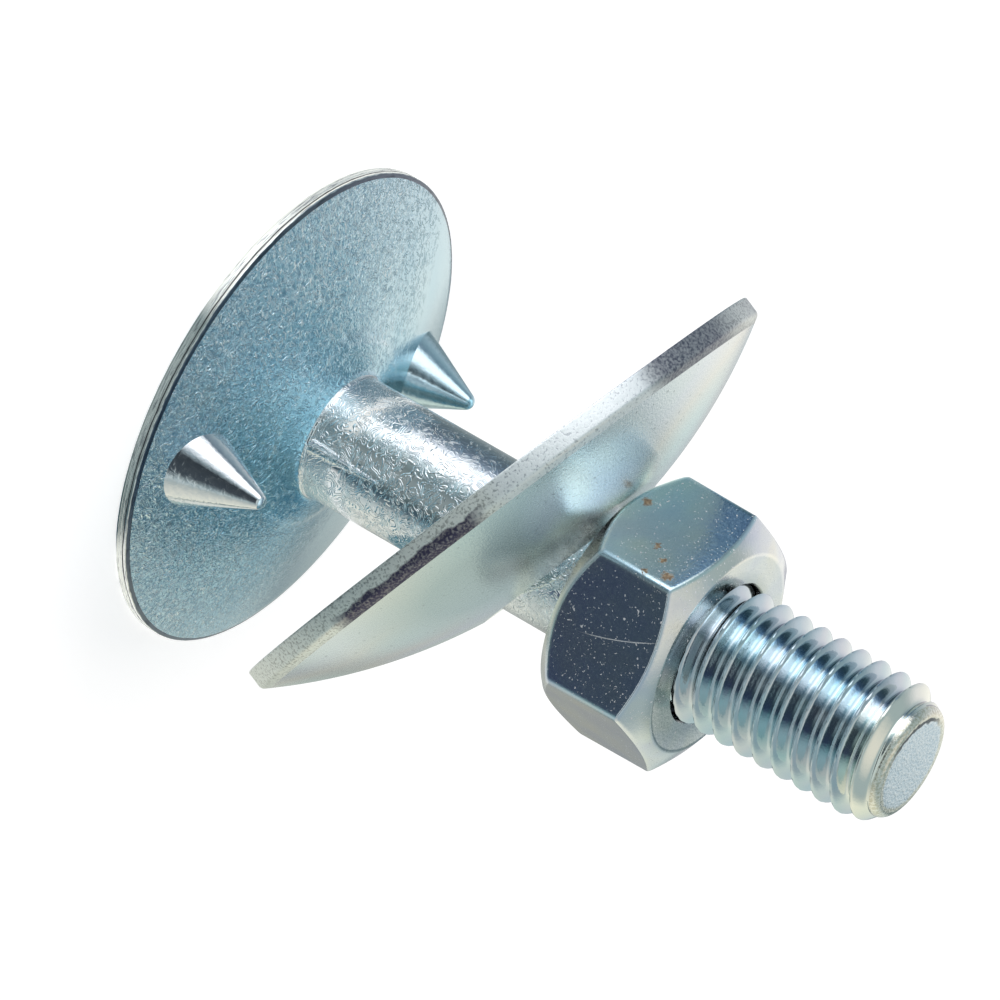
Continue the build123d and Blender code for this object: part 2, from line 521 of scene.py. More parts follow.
def ramp(tree, factor, stops):
    """A colour or tone for each value of a pattern, as (value, colour) stops."""
    node = add(tree, "ShaderNodeValToRGB", {"Fac": factor})
    elements = node.color_ramp.elements
    elements.remove(elements[1])
    elements[0].position = stops[0][0]
    elements[0].color = (*stops[0][1], 1)
    for position, colour in stops[1:]:
        elements.new(position).color = (*colour, 1)
    return node.outputs["Color"]


def between(tree, value, low, high, new_low, new_high):
    """Maps a pattern from one range to another, and stops at the ends."""
    inputs = {"Value": value, "From Min": low, "From Max": high, "To Min": new_low, "To Max": new_high}
    return add(tree, "ShaderNodeMapRange", inputs).outputs["Result"]


def by_noise(tree, pattern, low, high):
    """A value that follows a noise from low to high."""
    return between(tree, pattern, noise_low, noise_high, low, high)


def rising(tree, value, start, end):
    """0 up to the start, 1 from the end on."""
    return between(tree, value, start, end, 0.0, 1.0)


def falling(tree, value, start, end):
    """1 up to the start, 0 from the end on."""
    return between(tree, value, start, end, 1.0, 0.0)


def both(tree, one, other):
    """The product of two shares."""
    return math(tree, "MULTIPLY", one, other)


def relief(tree, height, depth, below=None):
    """A bump of that depth in metres, laid over another one if given."""
    inputs = {"Height": height, "Distance": depth, "Strength": 1.0}
    if below is not None:
        inputs["Normal"] = below
    return add(tree, "ShaderNodeBump", inputs).outputs["Normal"]


def plated(finish):
    """Makes a finish metallic, and gives its node tree and its shader."""
    finish.use_nodes = True
    tree = finish.node_tree
    shader = tree.nodes["Principled BSDF"]
    shader.inputs["Metallic"].default_value = 1.0
    return tree, shader


def set_finish(tree, shader, colour, roughness, normal):
    """Joins a finish's three patterns to its shader."""
    tree.links.new(colour, shader.inputs["Base Color"])
    tree.links.new(roughness, shader.inputs["Roughness"])
    tree.links.new(normal, shader.inputs["Normal"])


# %% Pattern helpers
def strokes(tree, size, levels, width, gap_size, gap_share):
    """Short curly strokes: level lines of a swirled noise, broken up by a second noise."""
    swirl = 1.0
    gap_edge = 0.10
    wave = math(tree, "PINGPONG", math(tree, "MULTIPLY", noise(tree, size, 0.0, swirl), levels), 0.5)
    curl = rising(tree, wave, 0.5 - width, 0.5)
    kept = rising(tree, noise(tree, gap_size, 1.0), gap_share, gap_share + gap_edge)
    return both(tree, curl, kept)


def dots(tree, spacing, radius_share, kept_share, bend):
    """Small scattered flecks: the middles of bent cells, of which only a share is kept."""
    place = add(tree, "ShaderNodeTexCoord", {}).outputs["Object"]
    wave = add(tree, "ShaderNodeTexNoise", {"Vector": place, "Scale": 1 / spacing}).outputs["Color"]
    offset = vector_math(tree, "SUBTRACT", wave, (0.5, 0.5, 0.5))
    offset = vector_math(tree, "MULTIPLY", offset, (bend, bend, bend))
    bent_place = vector_math(tree, "ADD", place, offset)
    cells = add(tree, "ShaderNodeTexVoronoi", {"Vector": bent_place, "Scale": 1 / spacing})
    spot = falling(tree, cells.outputs["Distance"], radius_share / 2, radius_share)
    chance = add(tree, "ShaderNodeSeparateColor", {"Color": cells.outputs["Color"]}).outputs["Red"]
    return both(tree, spot, math(tree, "LESS_THAN", chance, kept_share))


# %% Places on the bolt
def from_axis(tree):
    """Distance of each point of the piece from the bolt's axis."""
    place = add(tree, "ShaderNodeTexCoord", {}).outputs["Object"]
    return vector_math(tree, "LENGTH", vector_math(tree, "MULTIPLY", place, (1, 1, 0)), (0, 0, 0), "Value")


def towards(tree, direction):
    """How far each point of the piece lies out in one direction round the bolt's axis."""
    place = add(tree, "ShaderNodeTexCoord", {}).outputs["Object"]
    return vector_math(tree, "DOT_PRODUCT", place, (cos(direction), sin(direction), 0), "Value")


# %% [markdown]
# ## The head's finish
# The forging die leaves orange peel on the back of the head, and the plating over it is the bluest on the
# bolt. The peel could be drawn as a picture, but a picture would need seams. Two noises, one for the peel
# and one for short strokes, give it everywhere. The strokes also carry painted white glints, and the peel's
# hollows carry painted shade. All of it fades out towards one side.

# %% Head finish
def head_zinc(finish):
    """Blue-white plating with orange peel, painted white glints and painted shade in its hollows, all
    strongest towards one side of the rim.
    """
    peel_direction = radians(159)
    peel_size, stroke_size, stroke_gap, fine_size = 0.26 * mm, 0.85 * mm, 0.30 * mm, 0.11 * mm
    peel_depth, stroke_depth, fine_depth = 0.100 * mm, 0.070 * mm, 0.005 * mm
    cloud_size, ring_break, ring_width = 7 * mm, 0.6 * mm, 0.22 * mm
    smooth_ends, peel_full = -7 * mm, 4 * mm
    near, far, paler_starts = 4 * mm, 10 * mm, 8.5 * mm
    tree, shader = plated(finish)
    reach = from_axis(tree)
    outward = both(tree, between(tree, reach, near, far, 0.35, 1.0),
                   rising(tree, towards(tree, peel_direction), smooth_ends, peel_full))
    pattern = noise(tree, peel_size, 2.0, 1.2)
    peel = both(tree, pattern, outward)
    stroke = both(tree, strokes(tree, stroke_size, 9, 0.24, stroke_gap, 0.44), outward)
    fine = noise(tree, fine_size, 1.0)
    deep = ramp(tree, noise(tree, cloud_size), [(0.35, (0.44, 0.67, 0.77)), (0.65, (0.58, 0.76, 0.82))])
    deep = mix(tree, between(tree, reach, paler_starts, head_radius, 0.0, 0.40), deep, (0.90, 0.97, 1.0, 1))
    from_ring = math(tree, "ABSOLUTE", math(tree, "SUBTRACT", reach, die_ring_radius))
    ring_line = both(tree, between(tree, from_ring, 0.0, ring_width, 0.55, 0.0),
                     rising(tree, noise(tree, ring_break), 0.45, 0.60))
    deep = mix(tree, ring_line, deep, (0.92, 1.0, 1.0, 1))
    # Painted shade: the peel's hollows are darker
    hollow = ramp(tree, pattern, [(0.40, (0.60, 0.69, 0.75)), (0.54, (1.0, 1.0, 1.0))])
    colour = mix(tree, outward, deep, hollow, "MULTIPLY")
    # Painted highlight: white glints painted on the strokes
    colour = mix(tree, both(tree, stroke, 0.7), colour, (0.97, 1.0, 1.0, 1))
    roughness = by_noise(tree, fine, 0.12, 0.20)
    grain = relief(tree, peel, peel_depth, relief(tree, fine, fine_depth))
    set_finish(tree, shader, colour, roughness, relief(tree, stroke, stroke_depth, grain))


def node_count(finish):
    """How many nodes a finish is made of."""
    return len(finish.node_tree.nodes)


head_zinc(bolt_finishes[head_slot])
print("head finish of", node_count(bolt_finishes[head_slot]), "nodes")

# %% [markdown]
# ## The shank's and the thread's finish
# The shank is drawn wire, and its plating is covered with fine curly wrinkles. They are level lines of one
# noise, cut into short pieces by another, and strongest on one side. The rolled thread is smoother than
# anything else on the bolt, so it only gets a faint speckle, and its last turn is painted paler and warmer,
# as a reflection.

# %% Shank and thread finishes
def shank_zinc(finish):
    """Bright plating over the drawn wire, covered with fine curly wrinkles."""
    wrinkle_size, wrinkle_gap, speck_size, cloud_size = 0.8 * mm, 0.30 * mm, 0.14 * mm, 3 * mm
    wrinkle_depth, speck_depth = 0.022 * mm, 0.002 * mm
    wrinkled_side, wrinkles_start, wrinkles_full = radians(172), 2.2 * mm, 3.3 * mm
    tree, shader = plated(finish)
    wrinkle = both(tree, strokes(tree, wrinkle_size, 10, 0.25, wrinkle_gap, 0.34),
                   between(tree, towards(tree, wrinkled_side), wrinkles_start, wrinkles_full, 0.28, 1.0))
    speck = noise(tree, speck_size, 2.0)
    colour = ramp(tree, noise(tree, cloud_size), [(0.3, (0.86, 0.91, 0.93)), (0.7, (0.94, 0.93, 0.91))])
    roughness = by_noise(tree, speck, 0.05, 0.10)
    set_finish(tree, shader, colour, roughness,
               relief(tree, wrinkle, wrinkle_depth, relief(tree, speck, speck_depth)))


def thread_zinc(finish):
    """Smooth bright plating on the rolled thread, with its last turn painted paler and warmer as a
    reflection.
    """
    speck_size, cloud_size, speck_depth = 0.15 * mm, 2.5 * mm, 0.004 * mm
    pale_turn_starts, pale_turn_full = (bolt_length - turns * thread_pitch for turns in (1.7, 1.2))
    tree, shader = plated(finish)
    place = add(tree, "ShaderNodeTexCoord", {}).outputs["Object"]
    height = add(tree, "ShaderNodeSeparateXYZ", {"Vector": place}).outputs["Z"]
    speck = noise(tree, speck_size, 2.0)
    plain = ramp(tree, noise(tree, cloud_size), [(0.3, (0.58, 0.72, 0.76)), (0.7, (0.72, 0.74, 0.78))])
    # Painted reflection: the last turn is paler and warmer
    colour = mix(tree, rising(tree, height, pale_turn_starts, pale_turn_full), plain, (0.95, 0.94, 0.85, 1))
    roughness = by_noise(tree, speck, 0.05, 0.11)
    set_finish(tree, shader, colour, roughness, relief(tree, speck, speck_depth))


for dress, slot in ((shank_zinc, shank_slot), (thread_zinc, thread_slot)):
    dress(bolt_finishes[slot])
    print(bolt_finish_names[slot], "of", node_count(bolt_finishes[slot]), "nodes")

# %% [markdown]
# ## The end, the fangs and the rim
# The end was cropped from the wire, so it is rough and satin. A painted dark reflection lies in a crescent
# along its edge, and the edge itself is painted paler and warmer, as a reflection. The fangs are bright and
# slightly pitted, and one is tinted teal, a painted reflection of the head. The rim shows the lines that the
# dies drew out along it, with painted shade in the deepest of them and along its upper edge. The grooves are
# in the mesh, and the finish only adds the painted shade and fine streaks.

# %% End, fang and rim finishes
def end_zinc(finish):
    """Satin plating on the cropped end, painted paler and warmer round its edge as a reflection, with a
    painted dark reflection in a crescent along one side of it.
    """
    crescent_direction = radians(104)
    speck_size, ragged_size, speck_depth = 0.14 * mm, 0.5 * mm, 0.014 * mm
    face_ends, ragged_by, crescent_width = 2.45 * mm, 0.08 * mm, 0.16 * mm
    crescent_starts, crescent_full = face_ends * 0.5, face_ends * 0.9
    tree, shader = plated(finish)
    speck = noise(tree, speck_size, 3.0)
    reach = math(tree, "ADD", from_axis(tree),
                 by_noise(tree, noise(tree, ragged_size), -ragged_by, ragged_by))
    face = ramp(tree, speck, [(0.38, (0.64, 0.75, 0.84)), (0.62, (0.93, 0.97, 1.0))])
    # Painted reflection: the edge is paler and warmer
    edge = ramp(tree, speck, [(0.38, (0.72, 0.68, 0.55)), (0.62, (0.98, 0.95, 0.85))])
    colour = mix(tree, rising(tree, reach, face_ends, face_ends + crescent_width), face, edge)
    from_edge = math(tree, "ABSOLUTE", math(tree, "SUBTRACT", reach, face_ends + crescent_width))
    # Painted reflection: a dark crescent along one side of the edge
    painted_dark_crescent = both(tree, between(tree, from_edge, crescent_width / 2, crescent_width, 0.95, 0.0),
                rising(tree, towards(tree, crescent_direction), crescent_starts, crescent_full))
    colour = mix(tree, painted_dark_crescent, colour, (0.05, 0.06, 0.08, 1))
    roughness = by_noise(tree, speck, 0.14, 0.26)
    set_finish(tree, shader, colour, roughness, relief(tree, speck, speck_depth))


def fang_zinc(finish):
    """Bright plating on the fangs, pitted by the die, with one fang rougher and tinted teal as a painted
    reflection of the head.
    """
    pit_size, pit_depth = 0.3 * mm, 0.010 * mm
    tree, shader = plated(finish)
    pit = noise(tree, pit_size, 2.0, 0.5)
    satin = rising(tree, towards(tree, 0), 0, fang_place)
    colour = ramp(tree, pit, [(0.3, (0.84, 0.86, 0.88)), (0.7, (0.95, 0.94, 0.93))])
    # Painted reflection: the fang on one side is tinted teal, the colour of the head it mirrors
    colour = mix(tree, satin, colour, (0.66, 0.84, 0.90, 1))
    roughness = math(tree, "ADD", by_noise(tree, pit, 0.05, 0.12), both(tree, satin, 0.12))
    set_finish(tree, shader, colour, roughness, relief(tree, pit, pit_depth))


def rim_zinc(finish):
    """The head's rim, with fine lines drawn out along it by the dies, and painted shade in the deepest of
    them and along its upper edge.
    """
    streak_size, waver_size, streak_depth = 0.07 * mm, 0.9 * mm, 0.012 * mm
    drawn_out_share = 0.08
    tree, shader = plated(finish)
    place = add(tree, "ShaderNodeTexCoord", {}).outputs["Object"]
    drawn_out = vector_math(tree, "MULTIPLY", place, (drawn_out_share, drawn_out_share, 1))
    streak = noise(tree, streak_size, 2.0, 0.0, drawn_out)
    height = add(tree, "ShaderNodeSeparateXYZ", {"Vector": place}).outputs["Z"]
    waver = by_noise(tree, noise(tree, waver_size), -0.03, 0.03)
    share = math(tree, "ADD", rising(tree, height, rim_round, rim_height), waver)
    # Painted shade: dark bands at the deepest groove and at the rim's upper edge
    lines = ramp(tree, share, [
        (0.56, (1.0, 1.0, 0.98)), (0.61, (0.12, 0.12, 0.15)), (0.66, (0.12, 0.12, 0.15)),
        (0.71, (1.0, 1.0, 0.98)), (0.90, (1.0, 1.0, 0.98)), (0.96, (0.16, 0.18, 0.22))])
    light = ramp(tree, streak, [(0.34, (0.55, 0.56, 0.58)), (0.46, (1.0, 1.0, 0.98))])
    colour = mix(tree, 1.0, lines, light, "MULTIPLY")
    roughness = by_noise(tree, streak, 0.10, 0.22)
    set_finish(tree, shader, colour, roughness, relief(tree, streak, streak_depth))


for dress, slot in ((end_zinc, end_slot), (fang_zinc, fang_slot), (rim_zinc, rim_slot)):
    dress(bolt_finishes[slot])
    print(bolt_finish_names[slot], "of", node_count(bolt_finishes[slot]), "nodes")
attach(bolt, "bolt")
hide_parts("fanged_bolt")
print("bolt finishes", [material.name for material in bolt.data.materials])

# %% [markdown]
# ## The washer's finishes
# The dome is pale and satin, with the faint play of colour of a passivated zinc skin, and two painted
# patches: shade beside the nut and a pale blue reflection above it. The hollow side is painted darker and
# bluer, as shade. The sheared rim is the liveliest part: grainy all round, torn dark on one stretch, with a
# painted white highlight on the next and stained near its end. A line through the washer's middle
# measures where each stretch begins, and the place across the rim tells the torn strip from the clean one.

# %% Washer's dome and hollow
# Painted patches on the dome, by middle, inner and outer reach and tone: painted shade beside the nut and a
# painted pale blue reflection above it
painted_dish_patches = (
    (Vector((-10.5, 3.0, 20.0)) * mm, 3 * mm, 8 * mm, (0.55, 0.63, 0.63, 1)),
    (Vector((-7.2, 10.0, 22.8)) * mm, 2 * mm, 5 * mm, (0.92, 1.0, 1.0, 1)),
)


def dish_zinc(finish):
    """Pale satin plating with a faint play of colour, a fine grain, dark pits, and painted patches of shade
    and reflection.
    """
    cloud_size, grain_size, grain_depth = 9 * mm, 0.13 * mm, 0.010 * mm
    pit_spacing, pit_bend = 0.6 * mm, 0.4 * mm
    tree, shader = plated(finish)
    grain = noise(tree, grain_size, 2.0)
    pits = dots(tree, pit_spacing, 0.16, 0.5, pit_bend)
    tint = ramp(tree, noise(tree, cloud_size, 0.0), [
        (0.32, (0.80, 0.93, 0.92)), (0.48, (0.94, 0.91, 0.85)),
        (0.58, (0.88, 0.90, 0.93)), (0.68, (0.84, 0.94, 0.87))])
    place = add(tree, "ShaderNodeTexCoord", {}).outputs["Object"]
    # Painted shade and painted reflection, each a soft patch round a point
    for middle, inside, outside, tone in painted_dish_patches:
        away = vector_math(tree, "DISTANCE", place, middle, "Value")
        tint = mix(tree, falling(tree, away, inside, outside), tint, tone)
    colour = mix(tree, both(tree, pits, 0.6), tint, (0.35, 0.38, 0.38, 1))
    roughness = by_noise(tree, grain, 0.20, 0.30)
    set_finish(tree, shader, colour, roughness, relief(tree, grain, grain_depth))


def shaded_hollow_zinc(finish):
    """Darker, bluer plating in the washer's hollow: painted shade."""
    grain_size, grain_depth = 0.13 * mm, 0.008 * mm
    tree, shader = plated(finish)
    grain = noise(tree, grain_size, 2.0)
    # Painted shade: the hollow side is darker and bluer than the dome
    colour = ramp(tree, grain, [(0.3, (0.48, 0.64, 0.68)), (0.7, (0.58, 0.72, 0.75))])
    roughness = by_noise(tree, grain, 0.14, 0.22)
    set_finish(tree, shader, colour, roughness, relief(tree, grain, grain_depth))


for dress, slot in ((dish_zinc, dish_slot), (shaded_hollow_zinc, hollow_slot)):
    dress(washer_finishes[slot])
    print(washer_finishes[slot].name, "of", node_count(washer_finishes[slot]), "nodes")


# %% Washer's sheared rim
def stretch(tree, along, start, end, blend):
    """1 on one stretch of a run of values and 0 elsewhere, with soft ends."""
    return both(tree, rising(tree, along, start - blend, start), falling(tree, along, end, end + blend))


def sheared_zinc(finish):
    """The sheared rim: grainy all round, with a painted white highlight on one stretch and torn dark on
    another.
    """
    grain_size, grain_depth, wander_size, wander_by = 0.15 * mm, 0.012 * mm, 1.2 * mm, 0.15 * mm
    torn_starts, torn_width, blend = 0.12 * mm, 0.12 * mm, 1.2 * mm
    tree, shader = plated(finish)
    place = add(tree, "ShaderNodeTexCoord", {}).outputs["Object"]
    from_middle = vector_math(tree, "SUBTRACT", place, rim_middle)
    across = vector_math(tree, "DOT_PRODUCT", from_middle, washer_axis, "Value")
    along = vector_math(tree, "DOT_PRODUCT", from_middle, rim_run, "Value")
    grain = noise(tree, grain_size, 2.0, 0.5)
    wander = by_noise(tree, noise(tree, wander_size, 2.0), -wander_by, wander_by)
    torn_side = rising(tree, math(tree, "ADD", across, wander), torn_starts, torn_starts + torn_width)
    torn = both(tree, torn_side, stretch(tree, along, *torn_stretch, blend))
    plain = ramp(tree, grain, [(0.36, (0.55, 0.54, 0.50)), (0.50, (0.97, 0.96, 0.90))])
    # Painted highlight: whiter grain on one stretch of the rim
    bright = ramp(tree, grain, [(0.33, (0.60, 0.61, 0.62)), (0.44, (1.0, 1.0, 0.98))])
    dark = ramp(tree, grain, [(0.45, (0.08, 0.07, 0.12)), (0.70, (0.40, 0.36, 0.36))])
    stained = ramp(tree, grain, [(0.38, (0.18, 0.18, 0.22)), (0.62, (0.50, 0.49, 0.50))])
    colour = mix(tree, stretch(tree, along, *highlight_stretch, blend), plain, bright)
    colour = mix(tree, stretch(tree, along, *stained_stretch, blend), colour, stained)
    colour = mix(tree, torn, colour, dark)
    roughness = by_noise(tree, grain, 0.38, 0.55)
    set_finish(tree, shader, colour, roughness, relief(tree, grain, grain_depth))


# Stretches of the rim that faces the viewer, in places along a line through the washer's middle
rim_faces = radians(149)
torn_stretch = (-7.7 * mm, 0.5 * mm)
highlight_stretch = (3.0 * mm, 11.3 * mm)
stained_stretch = (12.3 * mm, 15.0 * mm)
washer_axis = Vector((-sin(washer_lean) * cos(washer_high_side), -sin(washer_lean) * sin(washer_high_side),
                      cos(washer_lean)))
rim_middle = Vector((0, 0, hole_height)) + washer_axis * (inner_rim + outer_rim) / 2
rim_run = Vector((cos(rim_faces), sin(rim_faces), 0)).cross(washer_axis).normalized()
sheared_zinc(washer_finishes[sheared_slot])
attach(washer, "washer")
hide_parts("dished_washer")
print("washer finishes", [material.name for material in washer.data.materials])

# %% [markdown]
# ## The nut's finish
# The nut carries the most marks: fine pale flecks, one bent scratch, painted shade on the face round the
# thread and in the bore, two flats tinted as painted reflections, and a few specks of rust on one flat.
# Each mark is a share from 0 to 1, measured from a point or a line on the piece, and the shares then
# choose between plating, painted shade and rust. Rust and flecks are not metallic, so they also lower the
# metallic value.

# %% Marks on the nut
def flat_direction(flat_number):
    """The direction that one of the nut's flats faces."""
    return corner_direction + radians(30) + flat_number * radians(60)


def on_flat(flat_number, across, height):
    """A point on one of the nut's flats, by its place across the flat and its height above the seat."""
    direction = flat_direction(flat_number)
    outward = Vector((cos(direction), sin(direction), 0)) * (flat_distance - flat_draft * height)
    sideways = Vector((-sin(direction), cos(direction), 0)) * across
    return outward + sideways + Vector((0, 0, nut_bottom + height))


upper_flat, left_flat = 1, 2
# Painted reflection: two flats tinted towards the colours they mirror
mirrored_flat_tints = ((upper_flat, (0.82, 0.96, 1.0, 1)), (left_flat, (0.92, 0.94, 1.0, 1)))
flat_edge = 0.10 * mm
# Painted shade on the face round the thread: its side, lean, reach and depth
mouth_shade_side = radians(205)
mouth_shade_lean_share = 0.2
mouth_shade_starts = 3.9 * mm
mouth_shade_ends = 5.6 * mm
mouth_shade_depth = 0.3 * mm
flat_starts = flat_distance - flat_draft * nut_height - 2 * flat_edge
# Rust specks, in millimetres across the upper flat and above the seat
rust_places = ((-0.75, 0.9), (1.55, 3.25), (2.25, 4.1), (3.05, 5.0), (3.5, 3.9))
rust_spots = [on_flat(upper_flat, across * mm, height * mm) for across, height in rust_places]
rust_radii = (0.34 * mm, 0.24 * mm, 0.26 * mm, 0.40 * mm, 0.22 * mm)
scratch_width = 0.04 * mm
scratch_reach = 2.5 * mm
scratch_bend = 16.0 * mm
scratch_across = -0.1 * mm
scratch_height = 4.2 * mm
scratch_slant = radians(20)
scratch_centre = on_flat(left_flat, scratch_across, scratch_height)
scratch_middle = on_flat(left_flat, scratch_across - scratch_bend * cos(scratch_slant),
                         scratch_height - scratch_bend * sin(scratch_slant))


def rust_specks(tree, place, speck):
    """Ragged specks of rust on the upper flat."""
    ragged_by = 0.16 * mm
    rust = 0.0
    for spot, radius in zip(rust_spots, rust_radii):
        away = vector_math(tree, "DISTANCE", place, spot, "Value")
        ragged = math(tree, "ADD", away, by_noise(tree, speck, -ragged_by, ragged_by))
        rust = math(tree, "MAXIMUM", rust, between(tree, ragged, radius / 2, radius, 0.9, 0.0))
    return rust


def bent_scratch(tree, place):
    """A thin scratch on the left flat, part of a wide circle."""
    bent = vector_math(tree, "DISTANCE", place, scratch_middle, "Value")
    from_scratch = math(tree, "ABSOLUTE", math(tree, "SUBTRACT", bent, scratch_bend))
    along = vector_math(tree, "DISTANCE", place, scratch_centre, "Value")
    return both(tree, between(tree, from_scratch, 0.0, scratch_width, 0.8, 0.0),
                falling(tree, along, scratch_reach / 2, scratch_reach))


def painted_mouth_shade(tree, place):
    """Painted shade on the nut's face round the thread, which reaches furthest to one side."""
    height = add(tree, "ShaderNodeSeparateXYZ", {"Vector": place}).outputs["Z"]
    spread = math(tree, "SUBTRACT", from_axis(tree), both(tree, towards(tree, mouth_shade_side), mouth_shade_lean_share))
    return both(tree, between(tree, spread, mouth_shade_starts, mouth_shade_ends, 0.9, 0.0),
                rising(tree, height, nut_high.z - mouth_shade_depth, nut_high.z))


print("rust specks", len(rust_spots), "scratch", round(2 * scratch_reach / mm, 1), "mm long")


# %% Nut finish
def flecked_zinc(finish):
    """Plating on the nut: fine pale flecks, a scratch, painted shade round the thread and in the bore, flats
    tinted as painted reflections, and a few specks of rust.
    """
    speck_size, speck_depth, cloud_size = 0.16 * mm, 0.006 * mm, 2.5 * mm
    fine_spacing, fine_bend = 0.20 * mm, 0.35 * mm
    wide_spacing, wide_bend = 0.5 * mm, 0.7 * mm
    tree, shader = plated(finish)
    place = add(tree, "ShaderNodeTexCoord", {}).outputs["Object"]
    speck = noise(tree, speck_size, 3.0)
    cloud = noise(tree, cloud_size)
    crowd = between(tree, cloud, 0.4, 0.6, 0.35, 0.9)
    flecks = math(tree, "MAXIMUM", dots(tree, fine_spacing, 0.21, crowd, fine_bend),
                  dots(tree, wide_spacing, 0.15, 0.5, wide_bend))
    rust = rust_specks(tree, place, speck)
    pale = math(tree, "MAXIMUM", flecks, bent_scratch(tree, place))
    plain = ramp(tree, cloud, [
        (0.35, (0.80, 0.81, 0.86)), (0.5, (0.87, 0.88, 0.87)), (0.65, (0.92, 0.90, 0.83))])
    for flat, tint in mirrored_flat_tints:
        on_it = rising(tree, towards(tree, flat_direction(flat)), flat_starts, flat_starts + flat_edge)
        plain = mix(tree, on_it, plain, tint, "MULTIPLY")
    # Painted shade: the face round the thread is darker
    plain = mix(tree, painted_mouth_shade(tree, place), plain, (0.42, 0.50, 0.52, 1), "MULTIPLY")
    # Painted shade: the bore and the mouth's edge are near black
    inside = falling(tree, from_axis(tree), bore_radius, mouth_radius)
    plain = mix(tree, inside, plain, (0.01, 0.01, 0.012, 1))
    marked = mix(tree, pale, plain, (0.95, 0.97, 1.0, 1))
    brown = ramp(tree, speck, [(0.35, (0.17, 0.08, 0.03)), (0.6, (0.55, 0.36, 0.18))])
    colour = mix(tree, rust, marked, brown)
    marks = math(tree, "MAXIMUM", rust, pale)
    tree.links.new(math(tree, "SUBTRACT", 1.0, marks), shader.inputs["Metallic"])
    satin = by_noise(tree, speck, 0.10, 0.20)
    roughness = math(tree, "MAXIMUM", satin, both(tree, marks, 0.7))
    set_finish(tree, shader, colour, roughness, relief(tree, speck, speck_depth))


flecked_zinc(nut_finish)
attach(nut, "nut")
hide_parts("hex_nut")
print("nut finishes", [material.name for material in nut.data.materials])

# %% [markdown]
# ## Cards to mirror
# Shiny metal is lit by giving it something to mirror. In a studio that is a tent of white, grey and dark
# cards round the piece. Here the tent is one bowl that only reflections can see: a mat on the floor, a wall
# and a roof, with tones that change with the direction. The shank, the nut and the thread each mirror their
# own ring of the mat, so the mat has three rings. A single picture of a studio could do the same, but cards
# can be set one by one until each band of light on the metal lies where it should.

# %% Card tent
tent_radius = 260 * mm
tent_gap = 0.4 * mm
tent_lift = 0.02 * mm
tent_columns = 96
tent_profile = np.array(
    line((head_radius + tent_gap, tent_lift), (tent_radius, tent_lift), 6)
    + arc((0, tent_lift), tent_radius, 0, 88, 24)[1:])
tent = turned_mesh("card_tent", tent_profile[:, :1], tent_profile[:, 1], evenly(tent_columns), False)
tent.rotation_euler.z = camera_azimuth
for ray in ("camera", "diffuse", "transmission", "volume_scatter", "shadow"):
    setattr(tent, f"visible_{ray}", False)
print("card tent", round(2 * tent_radius / mm), "mm wide")

# %% Tones of the cards
white_card = (1.45, 1.52, 1.60)
# Directions in degrees from the camera's side, anticlockwise seen from above.
# The shank mirrors the mat near the bolt, the nut a ring further out, and the thread the next ring.
shank_cards = [
    (-180, (0.62, 0.66, 0.64)), (-150, (0.26, 0.31, 0.33)), (-130, (0.15, 0.20, 0.22)),
    (-116, (0.10, 0.14, 0.17)), (-100, (0.10, 0.14, 0.18)), (-88, (0.13, 0.18, 0.24)),
    (-78, (0.22, 0.29, 0.38)), (-68, (0.80, 0.88, 1.0)), (-60, white_card),
    (-38, white_card), (-28, (0.60, 0.72, 0.76)), (-18, (0.22, 0.30, 0.32)),
    (-8, (0.16, 0.21, 0.22)), (6, (0.24, 0.29, 0.30)), (22, (0.24, 0.29, 0.30)),
    (36, (0.09, 0.13, 0.14)), (50, (0.05, 0.09, 0.12)), (60, (0.18, 0.24, 0.27)),
    (70, (0.45, 0.52, 0.53)), (82, (0.60, 0.66, 0.65)), (96, (0.72, 0.76, 0.71)),
    (130, (0.66, 0.70, 0.65)), (156, (0.40, 0.42, 0.40)), (180, (0.62, 0.66, 0.64)),
]
nut_cards = [
    (-180, (0.62, 0.66, 0.64)), (-165, (0.80, 0.84, 0.84)), (-148, (0.62, 0.68, 0.69)),
    (-126, (0.42, 0.50, 0.54)), (-104, (0.27, 0.45, 0.62)), (-88, (0.21, 0.37, 0.54)),
    (-78, (0.10, 0.15, 0.22)), (-66, (0.85, 0.92, 1.00)), (-58, white_card),
    (-40, white_card), (-18, (0.22, 0.30, 0.36)), (-6, (0.05, 0.065, 0.08)),
    (20, (0.04, 0.055, 0.075)), (44, (0.045, 0.06, 0.11)), (56, (0.20, 0.27, 0.32)),
    (70, (0.42, 0.50, 0.50)), (90, (0.50, 0.55, 0.53)), (108, (0.50, 0.55, 0.52)),
    (130, (0.36, 0.40, 0.38)), (156, (0.34, 0.35, 0.33)), (180, (0.62, 0.66, 0.64)),
]
thread_white = (2.20, 2.35, 2.50)
thread_cards = [
    (-180, (0.55, 0.56, 0.60)), (-150, (0.40, 0.40, 0.47)), (-128, (0.20, 0.23, 0.29)),
    (-110, (0.07, 0.12, 0.14)), (-96, (0.035, 0.065, 0.09)), (-84, (0.05, 0.09, 0.15)),
    (-76, (0.20, 0.32, 0.50)), (-68, (1.10, 1.42, 1.75)), (-56, thread_white),
    (-42, thread_white), (-30, (0.50, 0.68, 0.76)), (-18, (0.14, 0.21, 0.26)),
    (-4, (0.15, 0.19, 0.20)), (10, (0.24, 0.29, 0.30)), (20, (0.12, 0.16, 0.17)),
    (30, (0.045, 0.07, 0.09)), (40, (0.04, 0.06, 0.095)), (50, (0.14, 0.24, 0.26)),
    (62, (0.34, 0.48, 0.50)), (74, (0.42, 0.58, 0.59)), (95, (0.42, 0.54, 0.53)),
    (110, (0.22, 0.30, 0.30)), (135, (0.18, 0.22, 0.22)), (180, (0.55, 0.56, 0.60)),
]
